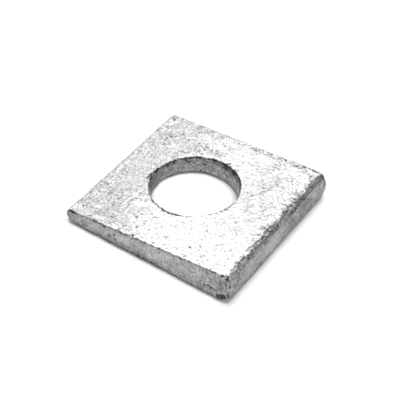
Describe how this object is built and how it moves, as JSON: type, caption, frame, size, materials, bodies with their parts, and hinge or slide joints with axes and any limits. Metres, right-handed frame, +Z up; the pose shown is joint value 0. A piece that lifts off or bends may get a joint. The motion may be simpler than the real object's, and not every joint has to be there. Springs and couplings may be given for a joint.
{
  "type": "taper washer",
  "caption": "Square wedge-shaped washer with rounded rolled edges and an off-centre bolt hole square to its sloped face.",
  "frame": {"origin": "middle of the flat underside's outline, on the underside", "axes": "+Z up through the thickness, +X from the thin rolled side to the thick rolled side, +Y along the rolled sides"},
  "size_m": [0.0386, 0.038, 0.0063],
  "materials": {
    "galvanised_steel": "matt light grey hot-dip zinc coat, speckled and slightly lumpy"
  },
  "bodies": {
    "root": {"taper_washer": "galvanised_steel"}
  },
  "joints": []
}
